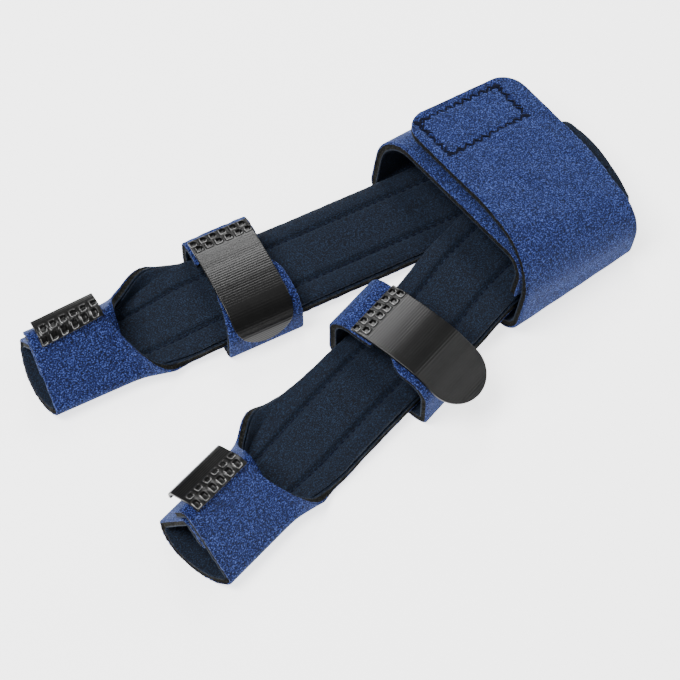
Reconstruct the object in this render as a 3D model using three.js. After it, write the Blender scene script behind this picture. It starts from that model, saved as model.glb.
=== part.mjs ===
// A two-finger splint lying palm side up: two padded tongues that cross in the palm, each with a
// fingertip sleeve and a finger strap, held together by one wrapped palm band.
// Millimetres, +Z up. +X runs to the fingertips and the origin is the middle of the footprint.
import * as THREE from "three";

// Cloth and tape
const WALL = 2.8; // foam laminate, knit lining inside and loop cloth outside
const PAD = 2.8; // the stay pocket at its thickest
const TAPE = 1.0; // moulded hook tape
const GAP = 0.3; // clearance between pieces that lie on each other

// Tongues
const TONGUE_WIDTH = 31.5;
const CHANNEL_HALF = 8.1; // from the middle of the pocket to each sewn line
const PAD_INSET = 0.8; // the pocket's edge stays this far inside the tongue's edge
const END_RADIUS = 4; // rounded corners in the palm
const END_SLANT = 7.5; // the outer corner of a tongue's end is cut back by about this much
const PAD_START = 12; // the pocket begins this far inside the sleeve

// Fingertip sleeves
const SLEEVE_WIDTH = 31.6;
const SLEEVE_RIDGE = 25.5; // length along the closed ridge
const SLEEVE_ROOT = 47; // where the wings have run out into the tongue
const SLEEVE_CORNER_RISE = 4.4; // the floor curls up to its corners
const SLEEVE_CORNER_RADIUS = 3.4;
const SLEEVE_LAP = 8; // how far the under wing goes on below the upper wing
const SLEEVE_OVER = 1.5; // how far the upper wing goes on past the rounded ridge
const RIDGE_SHIFT = -2.2; // the ridge lies a little off the middle
const RIDGE_RADIUS = 6;
const MOUTH_BULGE = 2.6; // the floor's front edge bows outwards
const WING_STEP = 22; // degrees between the facets of a bend

// Hook tape tabs on the sleeves
const SLEEVE_TAB_WIDTH = 20.5;
const SLEEVE_TAB_START = 2.6; // from the sleeve's mouth
const SLEEVE_TAB_TIP = 3.5; // its last stretch, which may curl

// Finger straps
const STRAP_NARROWING = 3.5; // the strap is narrower at its welded arm than at its free end
const STRAP_HALF = 20;
const STRAP_TOP_RADIUS = 8;
const STRAP_BOTTOM_RADIUS = 3.4;
const STRAP_PART = 2; // open space between the two ends, below the tab
const STRAP_TAB_WIDTH = 20;
const STRAP_TAB_WELD = 7;

// Palm band
const BAND_WIDTH = 46.5;
const BAND_LEFT = -34;
const BAND_RIGHT = 38.5;
const BAND_SLANT = 0.04; // at the mouth the top falls to the left by this share of its width
const BAND_FRONT = -43; // where its lower front edge lies
const BAND_FRONT_HEIGHT = 36;
const BAND_SET_BACK = 6; // the top of the mouth leans back by this much
const BAND_LAP_SET_BACK = 3; // the outer end lies a little further back than the inner one
const BAND_END_RADIUS = 8;
const BAND_END_STEP = 3.5; // from the left fold to the free end
const PATCH_LENGTH = 34;
const PATCH_WIDTH = 16;
const PATCH_STEP = 6; // from the free end to the hook patch
const LAYER_GAP = TAPE + 2 * GAP; // between the two ends of the band, where the patch lies

const STACK = WALL + GAP; // a tongue lies on a strap or on the band
const TONGUE_STACK = WALL + GAP + PAD + GAP;
const BAND_BACK_HEIGHT = STACK + 2 * TONGUE_STACK + WALL + LAYER_GAP + WALL;

// One row for each finger: the place of its tip, its direction in the palm's plane, its length, how
// high its tongue lies in the palm, where its sleeve's walls would meet if the ridge weren't rounded,
// how the sleeve tab is turned, where it starts and leaves the wing, measured from the wing's end,
// how long its flap is and how far that curls, how far its tongue flares on its outer side in the palm,
// and its strap: place, turn, width, height, sideways shift, how far left of the middle the welded
// arm ends, and the tab's length and bend.
const FINGERS = [
  {
    name: "right", tipX: 84.5, tipY: -38.7, angle: -10.8, length: 181, palmLift: STACK,
    sleeveApex: 28, tabSkew: 4.5, tabWeld: 12.2, tabLeave: 5, tabFlap: 2.5, curl: 10, outer: "far", flare: 0,
    strapAt: 70.5, strapTurn: 0, strapWidth: 24.5, strapHeight: 17, strapShift: -0.6, strapArm: 8,
    tabLength: 41, tabTurn: 78,
  },
  {
    name: "left", tipX: 81.5, tipY: 38.8, angle: 10.2, length: 190, palmLift: STACK + TONGUE_STACK,
    sleeveApex: 31, tabSkew: 0, tabWeld: 10.6, tabLeave: 7.3, tabFlap: 6.5, curl: 85, outer: "near", flare: 7,
    strapAt: 92, strapTurn: 2, strapWidth: 23, strapHeight: 21, strapShift: 1, strapArm: 3,
    tabLength: 42, tabTurn: 22,
  },
];

// The tongue's outline: at is a share of its length, and near and far are its edges on the +Y and -Y
// side, as shares of its width from its middle.
const TONGUE_SHAPE = [
  { at: 0.0, near: 0.49, far: 0.57 },
  { at: 0.25, near: 0.48, far: 0.57 },
  { at: 0.36, near: 0.48, far: 0.5 },
  { at: 0.52, near: 0.485, far: 0.485 },
  { at: 1.0, near: 0.485, far: 0.485 },
];

// The pocket's section from its middle to its edge: from and to name the two lines between which
// the share lies, and thick is a share of the pocket's thickness.
const POCKET_SECTION = [
  { from: "middle", share: 0, thick: 1 },
  { from: "middle", share: 0.55, thick: 0.97 },
  { from: "middle", share: 0.86, thick: 0.74 },
  { from: "seam", share: 0, thick: 0.42 },
  { from: "seam", share: 0.2, thick: 0.7 },
  { from: "seam", share: 0.55, thick: 0.78 },
  { from: "seam", share: 1, thick: 0.46 },
];

const radians = THREE.MathUtils.degToRad;
const smooth = (value, low, high) => THREE.MathUtils.smoothstep(value, low, high);

const LOOP_CLOTH = new THREE.MeshStandardMaterial({ color: 0x2c4a96, roughness: 0.95, metalness: 0 });
const KNIT_LINING = new THREE.MeshStandardMaterial({ color: 0x16202f, roughness: 0.95, metalness: 0 });
const HOOK_TAPE = new THREE.MeshStandardMaterial({ color: 0x141416, roughness: 0.35, metalness: 0 });

// Straight interpolation in a table with a column to look up by and a column to read.
function lookUp(table, key, column, value) {
  const last = table.length - 1;
  let row = 0;
  while (row < last - 1 && value > table[row + 1][key]) row += 1;
  const share = (value - table[row][key]) / (table[row + 1][key] - table[row][key]);
  return THREE.MathUtils.lerp(table[row][column], table[row + 1][column], THREE.MathUtils.clamp(share, 0, 1));
}

// A polygon with rounded corners as a chain of lines and arcs. Each corner is { t, z, radius }.
function roundedPath(corners) {
  const chain = [];
  const vectors = corners.slice(1).map((corner, i) => ({
    length: Math.hypot(corner.t - corners[i].t, corner.z - corners[i].z),
    heading: Math.atan2(corner.z - corners[i].z, corner.t - corners[i].t),
  }));
  let used = 0;
  vectors.forEach((vector, i) => {
    const next = vectors[i + 1];
    let cut = 0;
    let turn = 0;
    if (next) {
      turn = Math.atan2(Math.sin(next.heading - vector.heading), Math.cos(next.heading - vector.heading));
      const half = Math.abs(Math.tan(turn / 2));
      cut = Math.min(corners[i + 1].radius * half, 0.48 * Math.min(vector.length, next.length));
      chain.push({ length: vector.length - used - cut, turn: 0 });
      if (half > 1e-6) chain.push({ length: (cut / half) * Math.abs(turn), turn });
    } else {
      chain.push({ length: vector.length - used, turn: 0 });
    }
    used = cut;
  });
  return { start: { t: corners[0].t, z: corners[0].z, heading: vectors[0].heading }, chain };
}

function pathLength(path) {
  return path.chain.reduce((sum, link) => sum + link.length, 0);
}

// The place and heading at a distance along a path, moved sideways to its left by an offset.
function follow(path, distance, offset) {
  let { t, z, heading } = path.start;
  let left = distance;
  path.chain.forEach((link, i) => {
    const isLast = i === path.chain.length - 1;
    const part = isLast ? left : Math.min(left, link.length);
    const bend = link.length > 0 ? (link.turn * part) / link.length : 0;
    const chord = Math.abs(bend) < 1e-6 ? part : 2 * (part / bend) * Math.sin(bend / 2);
    t += chord * Math.cos(heading + bend / 2);
    z += chord * Math.sin(heading + bend / 2);
    heading += bend;
    left -= part;
  });
  return { t: t - offset * Math.sin(heading), z: z + offset * Math.cos(heading), heading };
}

// Distances along a path that catch its shape: arcs in steps of about the given angle, lines whole.
function marks(path, stepDegrees) {
  const found = [0];
  let sum = 0;
  for (const link of path.chain) {
    const steps = Math.max(1, Math.round(Math.abs(link.turn) / radians(stepDegrees)));
    for (let n = 1; n <= steps; n += 1) found.push(sum + (link.length * n) / steps);
    sum += link.length;
  }
  return found.filter((mark, i) => i === 0 || mark - found[i - 1] > 0.05);
}

// A closed sheet between two faces. place(along, across, side) gives a point of the face on its
// inner side at 0 and on its outer side at 1; along turned onto across points to the outer side.
function sheetGeometry(alongs, acrosses, place) {
  const positions = [];
  const index = [];
  const wide = acrosses.length;
  const long = alongs.length;
  for (const side of [0, 1]) {
    for (const along of alongs) {
      for (const across of acrosses) positions.push(...place(along, across, side));
    }
  }
  const at = (i, j, side) => (side * long + i) * wide + j;
  const quad = (a, b, c, d) => index.push(a, b, c, a, c, d);
  for (let i = 0; i < long - 1; i += 1) {
    for (let j = 0; j < wide - 1; j += 1) {
      quad(at(i, j, 1), at(i + 1, j, 1), at(i + 1, j + 1, 1), at(i, j + 1, 1));
      quad(at(i, j, 0), at(i, j + 1, 0), at(i + 1, j + 1, 0), at(i + 1, j, 0));
    }
    quad(at(i, 0, 0), at(i + 1, 0, 0), at(i + 1, 0, 1), at(i, 0, 1));
    quad(at(i, wide - 1, 1), at(i + 1, wide - 1, 1), at(i + 1, wide - 1, 0), at(i, wide - 1, 0));
  }
  for (let j = 0; j < wide - 1; j += 1) {
    quad(at(0, j, 0), at(0, j, 1), at(0, j + 1, 1), at(0, j + 1, 0));
    quad(at(long - 1, j, 1), at(long - 1, j, 0), at(long - 1, j + 1, 0), at(long - 1, j + 1, 1));
  }
  const geometry = new THREE.BufferGeometry();
  geometry.setAttribute("position", new THREE.Float32BufferAttribute(positions, 3));
  geometry.setIndex(index);
  geometry.computeVertexNormals();
  return geometry;
}

function piece(name, geometry, material) {
  const mesh = new THREE.Mesh(geometry, material);
  mesh.name = name;
  return mesh;
}

// From a finger's own measures to the splint's: s runs from the tip to the palm, t to its +Y side.
function fingerPoint(finger, s, t, z) {
  const angle = radians(finger.angle);
  return [
    finger.tipX - s * Math.cos(angle) - t * Math.sin(angle),
    finger.tipY - s * Math.sin(angle) + t * Math.cos(angle),
    z,
  ];
}

// How much a tongue's slanted end takes off a row there, at a place across it.
function endCut(finger, s, t) {
  const outwards = finger.outer === "near" ? t : -t;
  const share = Math.max(0, outwards / TONGUE_WIDTH + 0.5);
  return END_SLANT * share ** 2 * smooth(s, finger.length - 3 * END_SLANT, finger.length);
}

// The height of a tongue's under face: on the table in the sleeve, then on the strap and the band.
function tongueLift(finger, s) {
  const strapStart = finger.strapAt - finger.strapWidth / 2 - 2;
  const palmStart = finger.strapAt + finger.strapWidth / 2 + 2;
  const palmEnd = palmStart + 22;
  const onStrap = STACK * smooth(s, SLEEVE_RIDGE + 8, strapStart);
  return onStrap + (finger.palmLift - STACK) * smooth(s, palmStart, palmEnd);
}

// From the middle of a tongue to one of its edges.
function tongueHalf(finger, side, s) {
  const share = s / finger.length;
  const flare = side === finger.outer ? finger.flare * Math.max(0, 2 * share - 1) : 0;
  const half = flare + TONGUE_WIDTH * lookUp(TONGUE_SHAPE, "at", side, share);
  const past = Math.max(0, s - (finger.length - END_RADIUS));
  return half - END_RADIUS + Math.sqrt(Math.max(0, END_RADIUS ** 2 - past ** 2));
}

// How closed the sleeve's section is: 1 along the ridge and 0 on the flat tongue.
function closure(s) {
  return 1 - smooth(s, SLEEVE_RIDGE + 1, SLEEVE_ROOT + 6);
}

// Half of the sleeve's outer section, from the middle of the floor out to the end of one wing. The
// upper wing, on the +Y side, bends over the ridge. The under wing lies one wall inside it there,
// and goes on below it.
function wingPath(finger, upper, s) {
  const closed = closure(s);
  const half = SLEEVE_WIDTH / 2;
  const rise = finger.sleeveApex - SLEEVE_CORNER_RISE;
  const inset = WALL + GAP;
  const upperSlope = Math.atan2(rise, half - RIDGE_SHIFT);
  const upperWall = Math.hypot(rise, half - RIDGE_SHIFT);
  const toApex = Math.hypot(rise, half + RIDGE_SHIFT);
  const underSlope = Math.atan2(rise, half + RIDGE_SHIFT) - Math.asin(inset / toApex);
  const ridgeTurn = upperSlope + underSlope;
  const underWall = Math.sqrt(toApex ** 2 - inset ** 2) - inset * Math.tan(ridgeTurn / 2);
  const slope = (Math.PI - (upper ? upperSlope : underSlope)) * closed;
  const wall = upper ? upperWall : underWall;
  const radius = upper ? RIDGE_RADIUS : RIDGE_RADIUS - inset;
  const past = radius * Math.tan(ridgeTurn / 2) + (upper ? SLEEVE_OVER : SLEEVE_LAP);
  const corner = { t: half, z: SLEEVE_CORNER_RISE * closed, radius: SLEEVE_CORNER_RADIUS };
  const apex = { t: corner.t + wall * Math.cos(slope), z: corner.z + wall * Math.sin(slope), radius };
  return roundedPath([
    { t: 0, z: 0 },
    { t: 0.62 * half, z: 0.2 * corner.z, radius: SLEEVE_WIDTH },
    corner,
    apex,
    { t: apex.t + past * Math.cos(slope + ridgeTurn), z: apex.z + past * Math.sin(slope + ridgeTurn) },
  ]);
}

// How far a wing reaches from the middle of the floor: whole along the ridge, then cut in a hollow
// curve that runs out into the tongue's edge.
function wingReach(finger, upper, s) {
  const half = tongueHalf(finger, upper ? "near" : "far", s);
  if (s >= SLEEVE_ROOT) return half;
  const whole = pathLength(wingPath(finger, upper, s));
  const share = Math.min(1, (SLEEVE_ROOT - s) / (SLEEVE_ROOT - SLEEVE_RIDGE));
  return half + (whole - half) * (1 - Math.sqrt(1 - share ** 2));
}

// A point of the shell at a signed share of the wing's reach; offset runs inwards from its outside.
function shellPoint(finger, s, share, offset) {
  const upper = share >= 0;
  const reach = wingReach(finger, upper, s);
  const distance = Math.abs(share) * reach;
  const spot = follow(wingPath(finger, upper, s), distance, offset);
  const bow = MOUTH_BULGE * Math.min(1, (distance / (SLEEVE_WIDTH / 2)) ** 2) * (1 - smooth(s, 0, 14));
  const t = upper ? spot.t : -spot.t;
  return fingerPoint(finger, s + bow - endCut(finger, s, t), t, spot.z + tongueLift(finger, s));
}

// Row places along a finger: close together at the mouth, round the wings' back edge and at the end.
function fingerRows(finger, start) {
  const rows = [0, 3, 7, PAD_START, SLEEVE_RIDGE];
  const run = SLEEVE_ROOT - SLEEVE_RIDGE;
  for (const share of [0.03, 0.1, 0.21, 0.36, 0.55, 0.77, 1]) rows.push(SLEEVE_RIDGE + share * run);
  const free = finger.length - END_RADIUS - SLEEVE_ROOT;
  for (let n = 1; n <= 11; n += 1) rows.push(SLEEVE_ROOT + (free * n) / 11);
  for (const degrees of [45, 90]) {
    rows.push(finger.length - END_RADIUS * (1 - Math.sin(radians(degrees))));
  }
  return rows.filter((row) => row >= start);
}

function fingerShell(finger) {
  const shares = [];
  for (const upper of [false, true]) {
    const path = wingPath(finger, upper, 0);
    const whole = pathLength(path);
    for (const mark of marks(path, WING_STEP)) {
      if (mark > 0 || upper) shares.push((upper ? 1 : -1) * (mark / whole));
    }
  }
  shares.sort((a, b) => a - b);
  const geometry = sheetGeometry(fingerRows(finger, 0), shares, (s, share, side) =>
    shellPoint(finger, s, share, side === 1 ? 0 : WALL));
  return piece(`${finger.name}_finger_shell`, geometry, LOOP_CLOTH);
}

// The pocket's half width: as wide as the tongue, and narrower where the sleeve's walls close in.
function pocketHalf(finger, side, s) {
  const inside = SLEEVE_WIDTH / 2 - SLEEVE_CORNER_RADIUS - WALL - 1;
  const open = smooth(s, SLEEVE_ROOT - 9, SLEEVE_ROOT + 13);
  return THREE.MathUtils.lerp(inside, tongueHalf(finger, side, s) - PAD_INSET, open);
}

function pocketAcross(finger, side, s, row) {
  const half = pocketHalf(finger, side, s);
  const seam = Math.min(CHANNEL_HALF, half - 1);
  return row.from === "middle" ? seam * row.share : seam + (half - seam) * row.share;
}

// The stay pocket: a padded strip sewn onto the tongue along two lines, with the stay between them.
function fingerPad(finger) {
  const columns = [];
  for (const sign of [-1, 1]) {
    for (const row of POCKET_SECTION) {
      if (row.share > 0 || row.from === "seam" || sign > 0) columns.push({ sign, row });
    }
  }
  const order = (column) => column.sign * (POCKET_SECTION.indexOf(column.row) + 1);
  columns.sort((a, b) => order(a) - order(b));
  const rows = fingerRows(finger, PAD_START).map((s) => Math.min(s, finger.length - PAD_INSET));
  const geometry = sheetGeometry(rows, columns, (s, { sign, row }, side) => {
    const across = pocketAcross(finger, sign > 0 ? "near" : "far", s, row);
    const path = wingPath(finger, sign > 0, s);
    const edge = 1 - 0.5 * (1 - smooth(s, PAD_START - 1, PAD_START + 6));
    const rise = WALL + GAP + (side === 1 ? 0 : PAD * row.thick * edge);
    const spot = follow(path, across, rise);
    const t = sign * spot.t;
    return fingerPoint(finger, s - endCut(finger, s, t), t, spot.z + tongueLift(finger, s));
  });
  return piece(`${finger.name}_finger_pad`, geometry, KNIT_LINING);
}

// The start of a path, up to a distance along it.
function pathStart(path, distance) {
  const chain = [];
  let left = distance;
  for (const link of path.chain) {
    const share = Math.min(1, left / link.length);
    chain.push({ length: link.length * share, turn: link.turn * share });
    left -= link.length * share;
    if (share < 1) break;
  }
  return { start: path.start, chain };
}

// The hook tape tab on a sleeve: welded to the upper wing up to its ridge, with a smooth flap that
// leaves the wing there and goes on by itself.
function sleeveTab(finger) {
  const wing = wingPath(finger, true, 0);
  const whole = pathLength(wing);
  const flap = { length: finger.tabFlap, turn: 0 };
  const tip = { length: SLEEVE_TAB_TIP, turn: radians(finger.curl) };
  const welded = pathStart(wing, whole - finger.tabLeave);
  const path = { start: wing.start, chain: [...welded.chain, flap, tip] };
  const skew = Math.tan(radians(finger.tabSkew));
  const alongs = marks(path, WING_STEP).filter((mark) => mark > whole - finger.tabWeld + 0.5);
  const acrosses = [0, 0.5, 1].map((share) => share * SLEEVE_TAB_WIDTH);
  const geometry = sheetGeometry([whole - finger.tabWeld, ...alongs], acrosses, (along, across, side) => {
    const spot = follow(path, along + across * skew, -GAP - (side === 1 ? 0 : TAPE));
    return fingerPoint(finger, MOUTH_BULGE + SLEEVE_TAB_START + across, spot.t, spot.z);
  });
  return piece(`${finger.name}_sleeve_tab`, geometry, HOOK_TAPE);
}

// From a strap's own measures: p along the finger from the strap's middle, t across, turned in plan.
function strapPoint(finger, p, t, z) {
  const turn = radians(finger.strapTurn);
  const s = finger.strapAt + p * Math.cos(turn) + t * Math.sin(turn);
  return fingerPoint(finger, s, t * Math.cos(turn) - p * Math.sin(turn), z);
}

// The strap's outside: down the right side from its free end, below the tongue and up the left side
// to the welded arm.
function strapPath(finger) {
  const left = finger.strapShift - STRAP_HALF;
  const right = finger.strapShift + STRAP_HALF;
  const top = finger.strapHeight;
  const round = STRAP_TOP_RADIUS;
  const foot = STRAP_BOTTOM_RADIUS;
  return roundedPath([
    { t: STRAP_PART - finger.strapArm, z: top },
    { t: right, z: top, radius: round },
    { t: right, z: 0, radius: foot },
    { t: left, z: 0, radius: foot },
    { t: left, z: top, radius: round },
    { t: -finger.strapArm, z: top },
  ]);
}

function fingerStrap(finger) {
  const path = strapPath(finger);
  const whole = pathLength(path);
  const geometry = sheetGeometry(marks(path, 18), [-0.5, -0.17, 0.17, 0.5], (along, share, side) => {
    const width = finger.strapWidth - STRAP_NARROWING * smooth(along, 0.5 * whole, 0.75 * whole);
    const spot = follow(path, along, side === 1 ? 0 : -WALL);
    return strapPoint(finger, share * width, spot.t, spot.z);
  });
  return piece(`${finger.name}_strap`, geometry, LOOP_CLOTH);
}

// The hook tape tab on a strap: welded to the arm, arched over to the other side, with a round end.
function strapTab(finger) {
  const strap = strapPath(finger);
  const [top, shoulder] = strap.chain;
  const bend = radians(finger.tabTurn);
  const arc = (shoulder.length * bend) / Math.abs(shoulder.turn);
  const flat = top.length + STRAP_PART + STRAP_TAB_WELD;
  const path = {
    start: { ...strap.start, t: strap.start.t - STRAP_PART - STRAP_TAB_WELD },
    chain: [
      { length: flat, turn: 0 },
      { length: arc, turn: -bend },
      { length: Math.max(0.5, finger.tabLength - flat - arc), turn: 0 },
    ],
  };
  const whole = pathLength(path);
  const round = STRAP_TAB_WIDTH / 2;
  const rows = marks(path, 13).filter((mark) => mark < whole - round - 0.5);
  for (const degrees of [0, 25, 48, 68, 82]) rows.push(whole - round * (1 - Math.sin(radians(degrees))));
  const geometry = sheetGeometry(rows, [-1, -0.6, -0.2, 0.2, 0.6, 1], (along, share, side) => {
    const past = Math.max(0, along - (whole - round));
    const half = Math.sqrt(round ** 2 - past ** 2);
    const spot = follow(path, along, GAP + (side === 1 ? TAPE : 0));
    return strapPoint(finger, share * half, spot.t, spot.z);
  });
  return piece(`${finger.name}_strap_tab`, geometry, HOOK_TAPE);
}

// The middle of the palm band's wall at a place across its width, 0 at the wrist and 1 at the mouth:
// from the inner end across the top, round the left fold, below the tongues, round the right fold
// and back across the top to the free end.
function bandPath(share) {
  const height = THREE.MathUtils.lerp(BAND_BACK_HEIGHT, BAND_FRONT_HEIGHT, share);
  const half = WALL / 2;
  const outerTop = height - half;
  const innerTop = outerTop - WALL - LAYER_GAP;
  const left = BAND_LEFT + half;
  const right = BAND_RIGHT - half;
  const inRight = right - WALL - LAYER_GAP;
  const rightRound = 0.44 * height;
  const leftRound = 0.42 * height;
  const leftFoot = 0.08 * height;
  const rightFoot = 0.2 * height;
  const slant = BAND_SLANT * share;
  const end = left + BAND_END_STEP;
  return roundedPath([
    { t: inRight, z: innerTop * 0.55 },
    { t: inRight, z: innerTop, radius: rightRound - WALL - LAYER_GAP },
    { t: left, z: innerTop - slant * (inRight - left), radius: leftRound },
    { t: left, z: half, radius: leftFoot },
    { t: right, z: half, radius: rightFoot },
    { t: right, z: outerTop, radius: rightRound },
    { t: end, z: outerTop - slant * (inRight - end) },
  ]);
}

// A point of the band: along and across are shares of the path and of the width.
function bandPoint(along, across, offset) {
  const path = bandPath(across);
  const spot = follow(path, along * pathLength(path), offset);
  const lean = (BAND_SET_BACK * spot.z) / BAND_FRONT_HEIGHT;
  const lap = BAND_LAP_SET_BACK * smooth(along, 0.72, 0.86);
  const back = BAND_FRONT - BAND_WIDTH;
  return [back + across * BAND_WIDTH - lean - lap, spot.t, spot.z];
}

function palmBand() {
  const path = bandPath(1);
  const whole = pathLength(path);
  const rows = marks(path, 15).filter((mark) => mark < whole - BAND_END_RADIUS - 0.5);
  for (const degrees of [0, 30, 55, 75, 90]) {
    rows.push(whole - BAND_END_RADIUS * (1 - Math.sin(radians(degrees))));
  }
  const geometry = sheetGeometry(rows, [-1, -0.6, -0.2, 0.2, 0.6, 1], (mark, share, side) => {
    const past = Math.max(0, mark - (whole - BAND_END_RADIUS));
    const cut = BAND_END_RADIUS - Math.sqrt(Math.max(0, BAND_END_RADIUS ** 2 - past ** 2));
    const across = 0.5 + (share * (BAND_WIDTH / 2 - cut)) / BAND_WIDTH;
    return bandPoint(mark / whole, across, side === 1 ? -WALL / 2 : WALL / 2);
  });
  return piece("palm_band", geometry, LOOP_CLOTH);
}

// The hook patch sewn below the band's free end, which grips the inner end.
function palmHookPatch() {
  const whole = pathLength(bandPath(0.5));
  const alongs = [0, 0.5, 1].map((share) => (whole - PATCH_STEP - PATCH_WIDTH * (1 - share)) / whole);
  const acrosses = [-0.5, 0, 0.5].map((share) => 0.5 + (share * PATCH_LENGTH) / BAND_WIDTH);
  const geometry = sheetGeometry(alongs, acrosses, (along, across, side) =>
    bandPoint(along, across, WALL / 2 + GAP + (side === 1 ? 0 : TAPE)));
  return piece("palm_hook_patch", geometry, HOOK_TAPE);
}

const splint = new THREE.Group();
for (const finger of FINGERS) {
  splint.add(fingerShell(finger));
  splint.add(fingerPad(finger));
  splint.add(sleeveTab(finger));
  splint.add(fingerStrap(finger));
  splint.add(strapTab(finger));
}
splint.add(palmBand());
splint.add(palmHookPatch());

// The origin is the middle of the footprint, at the height of the table.
const reach = new THREE.Box3().setFromObject(splint);
const middle = reach.getCenter(new THREE.Vector3());
splint.position.set(-middle.x, -middle.y, -reach.min.z);
splint.updateMatrixWorld(true);

export default splint;
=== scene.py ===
"""A two-finger splint of foam laminate lying palm side up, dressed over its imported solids."""

import math

import bpy
import numpy as np
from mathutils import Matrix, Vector


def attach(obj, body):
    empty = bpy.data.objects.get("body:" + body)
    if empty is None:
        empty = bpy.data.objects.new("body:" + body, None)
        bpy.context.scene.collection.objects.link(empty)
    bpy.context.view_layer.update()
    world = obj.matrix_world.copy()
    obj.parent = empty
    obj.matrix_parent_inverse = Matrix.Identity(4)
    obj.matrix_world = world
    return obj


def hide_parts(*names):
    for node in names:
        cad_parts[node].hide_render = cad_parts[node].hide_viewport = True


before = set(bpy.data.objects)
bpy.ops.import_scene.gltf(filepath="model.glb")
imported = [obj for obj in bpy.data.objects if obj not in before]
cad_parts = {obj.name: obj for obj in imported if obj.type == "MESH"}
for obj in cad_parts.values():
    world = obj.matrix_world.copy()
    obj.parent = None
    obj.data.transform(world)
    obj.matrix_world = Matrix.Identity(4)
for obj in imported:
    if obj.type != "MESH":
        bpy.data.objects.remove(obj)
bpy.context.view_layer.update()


# The table, the light and the camera. The splint lies on a bright white table under one large
# soft box, set over towards the fingertips. Three weaker boxes, one behind it and two past the
# palm, light its other sides and give the glossy tape something to reflect.
TABLE_SIZE = 4.0
TABLE_GLOW = 2.2
ROOM_LIGHT = 0.3
SOFT_BOX_DISTANCE = 1.0


def set_inputs(tree, node, inputs):
    """Links a node's inputs from sockets, or gives them plain values."""
    for key, value in inputs.items():
        if isinstance(value, bpy.types.NodeSocket):
            tree.links.new(value, node.inputs[key])
        else:
            node.inputs[key].default_value = value


def add_node(tree, kind, inputs, **settings):
    node = tree.nodes.new(kind)
    for name, value in settings.items():
        setattr(node, name, value)
    set_inputs(tree, node, inputs)
    return node


def new_material(name, roughness, specular):
    """A material with an even finish, as itself, its node tree and its shader."""
    material = bpy.data.materials.new(name)
    material.use_nodes = True
    tree = material.node_tree
    shader = tree.nodes["Principled BSDF"]
    set_inputs(tree, shader, {"Roughness": roughness, "Specular IOR Level": specular})
    return material, tree, shader


def add_object(name, data):
    added = bpy.data.objects.new(name, data)
    bpy.context.scene.collection.objects.link(added)
    return added


bpy.ops.mesh.primitive_plane_add(size=TABLE_SIZE)
table = bpy.context.object
table.name = "table"
table_white, tree, shader = new_material("table_white", roughness=0.9, specular=0.1)
set_inputs(tree, shader, {
    "Base Color": (0.93, 0.93, 0.93, 1), "Emission Color": (1.0, 1.0, 1.0, 1),
    "Emission Strength": TABLE_GLOW,
})
table.data.materials.append(table_white)

room = bpy.data.worlds.new("room")
room.use_nodes = True
set_inputs(room.node_tree, room.node_tree.nodes["Background"], {
    "Color": (1.0, 1.0, 1.0, 1), "Strength": ROOM_LIGHT,
})
bpy.context.scene.world = room

SOFT_BOXES = [
    {"name": "box_key", "towards": (0.4, -0.12, 0.9), "size": 0.5, "watts": 17.0},
    {"name": "box_behind", "towards": (-0.31, -0.54, 0.78), "size": 0.25, "watts": 4.0},
    {"name": "box_left", "towards": (-0.46, 0.3, 0.84), "size": 0.24, "watts": 0.9},
    {"name": "box_rim", "towards": (-0.85, 0.1, 0.4), "size": 0.5, "watts": 4.0},
]
for box in SOFT_BOXES:
    light = bpy.data.lights.new(box["name"], "AREA")
    light.size = box["size"]
    light.energy = box["watts"]
    lamp = add_object(box["name"], light)
    lamp.location = Vector(box["towards"]).normalized() * SOFT_BOX_DISTANCE
    lamp.rotation_euler = Vector(box["towards"]).to_track_quat("Z", "Y").to_euler()

CAMERA_AZIMUTH = math.radians(142)
CAMERA_ELEVATION = math.radians(60)
CAMERA_DISTANCE = 0.69
CAMERA_TARGET = Vector((0.00924, 0.00512, 0.0))
CAMERA_LENS = 117.84
CAMERA_SENSOR = 36
camera_back = Vector((
    math.sin(CAMERA_AZIMUTH) * math.cos(CAMERA_ELEVATION),
    -math.cos(CAMERA_AZIMUTH) * math.cos(CAMERA_ELEVATION),
    math.sin(CAMERA_ELEVATION),
))
camera = add_object("camera", bpy.data.cameras.new("camera"))
camera.data.sensor_width = CAMERA_SENSOR
camera.data.lens = CAMERA_LENS
camera.location = CAMERA_TARGET + camera_back * CAMERA_DISTANCE
camera.rotation_euler = camera_back.to_track_quat("Z", "Y").to_euler()
bpy.context.scene.camera = camera


# The finger shells. Each is one cut of foam laminate, brushed loop cloth outside and fine knit
# inside, with the foam showing black at every cut edge. The tongue runs under the finger, and
# at the fingertip its two wings fold up and lap over each other along a ridge.

# Sizes are in millimetres. On a finger, s runs from the tip to the palm, t to its +Y side and z
# up. Its near edge and wing are those on the +Y side, and its far ones those on the -Y side.
MM = 0.001
UV_SCALE = 0.1  # the cloth's own UV map is in centimetres
WALL = 2.8
GAP = 0.3
PAD = 2.8
STACK = WALL + GAP
TONGUE_STACK = WALL + GAP + PAD + GAP
TONGUE_WIDTH = 31.5
STRAP_MARGIN = 2.0  # how far past a strap the tongue lies level on it
PALM_RISE = 22.0  # the length over which the tongue rises into the palm
END_RADIUS = 4.0
END_SLANT = 7.5
SLEEVE_WIDTH = 31.6
SLEEVE_RIDGE = 25.5
SLEEVE_ROOT = 47.0
SLEEVE_LEVEL = SLEEVE_RIDGE + 8  # the sleeve's floor lies on the table up to here
SLEEVE_CORNER_RISE = 4.4
SLEEVE_CORNER_RADIUS = 3.4
FLOOR_CREASE = 0.24  # the floor bends up here, as a share of the half width
FLOOR_BOW = (0.62, 0.2)  # and on through here, as shares of the half width and the corner's rise
SLEEVE_LAP = 8.0
SLEEVE_OVER = 1.5
RIDGE_SHIFT = -2.2
RIDGE_RADIUS = 6.0
MOUTH_BULGE = 2.6
MOUTH_RUN = 14.0
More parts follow.
